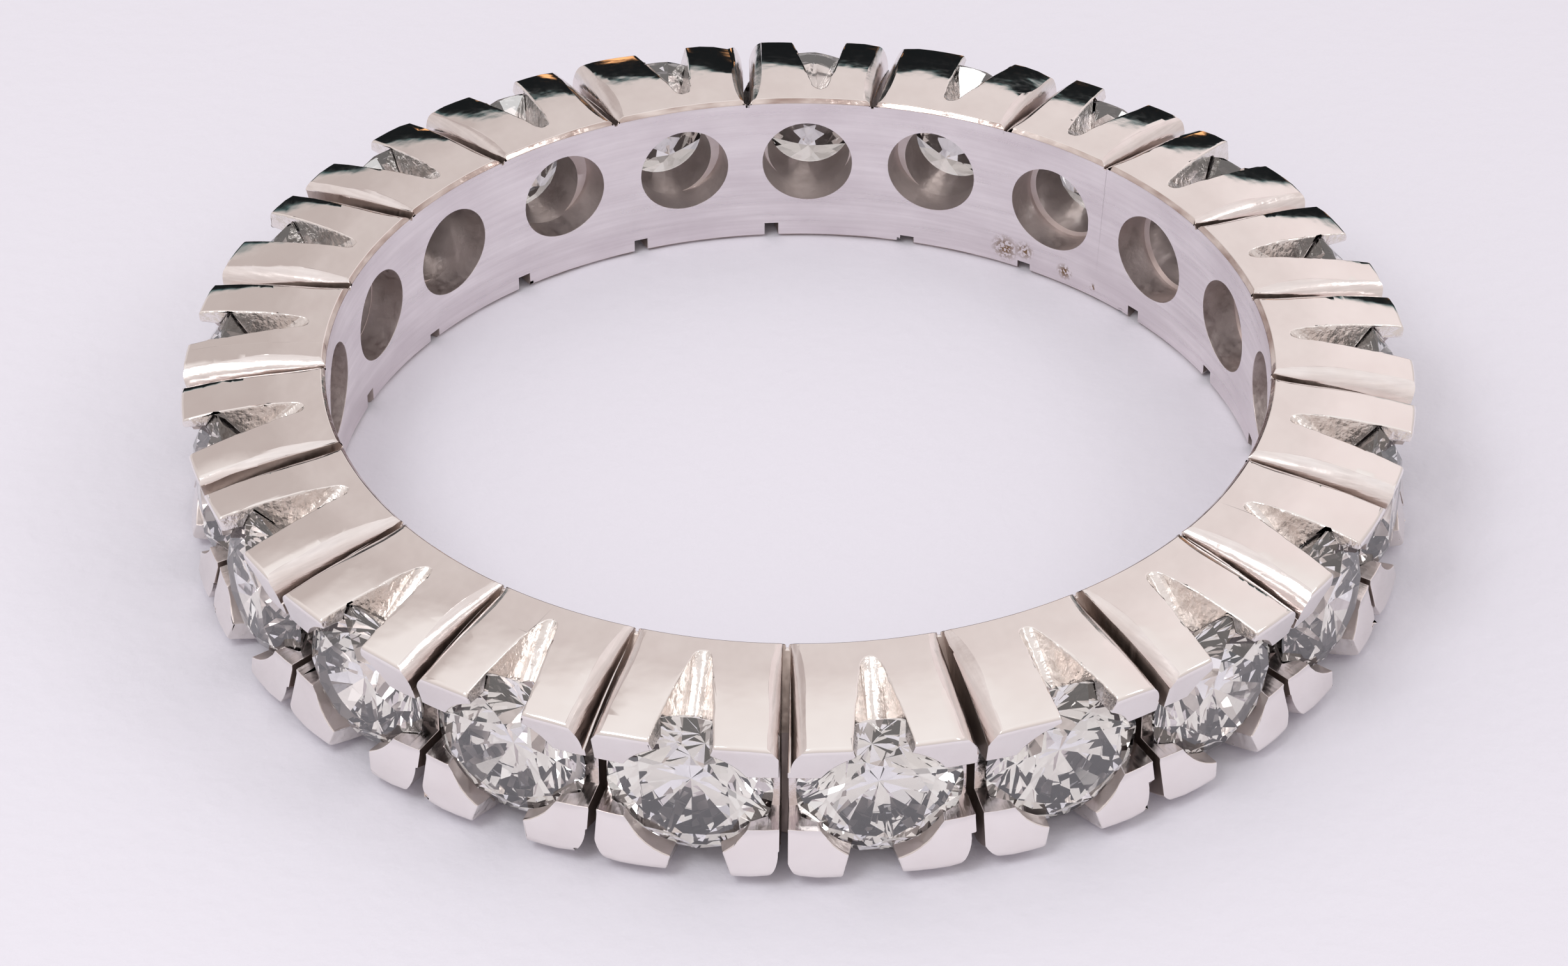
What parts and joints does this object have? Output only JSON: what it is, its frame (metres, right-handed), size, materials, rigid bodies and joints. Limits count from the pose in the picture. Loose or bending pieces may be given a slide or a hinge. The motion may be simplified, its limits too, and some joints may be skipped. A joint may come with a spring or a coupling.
{
  "type": "eternity ring",
  "caption": "Full eternity ring: a cast white metal band with saw-cut claw cells that holds a whole circle of round brilliant stones.",
  "frame": {"origin": "on the ring's axis, at the underside on which it lies", "axes": "+Z along the ring's axis, up from the surface it lies on; +Y through the middle of stone 1"},
  "size_m": [0.022, 0.022, 0.0032],
  "materials": {
    "white_gold": "polished outside and on the sides, fine satin in the finger hole",
    "diamond": "polished facets"
  },
  "bodies": {
    "root": {"band": "white_gold", "stone_01": "diamond", "stone_02": "diamond", "stone_03": "diamond", "stone_04": "diamond", "stone_05": "diamond", "stone_06": "diamond", "stone_07": "diamond", "stone_08": "diamond", "stone_09": "diamond", "stone_10": "diamond", "stone_11": "diamond", "stone_12": "diamond", "stone_13": "diamond", "stone_14": "diamond", "stone_15": "diamond", "stone_16": "diamond", "stone_17": "diamond", "stone_18": "diamond", "stone_19": "diamond", "stone_20": "diamond", "stone_21": "diamond"}
  },
  "joints": []
}
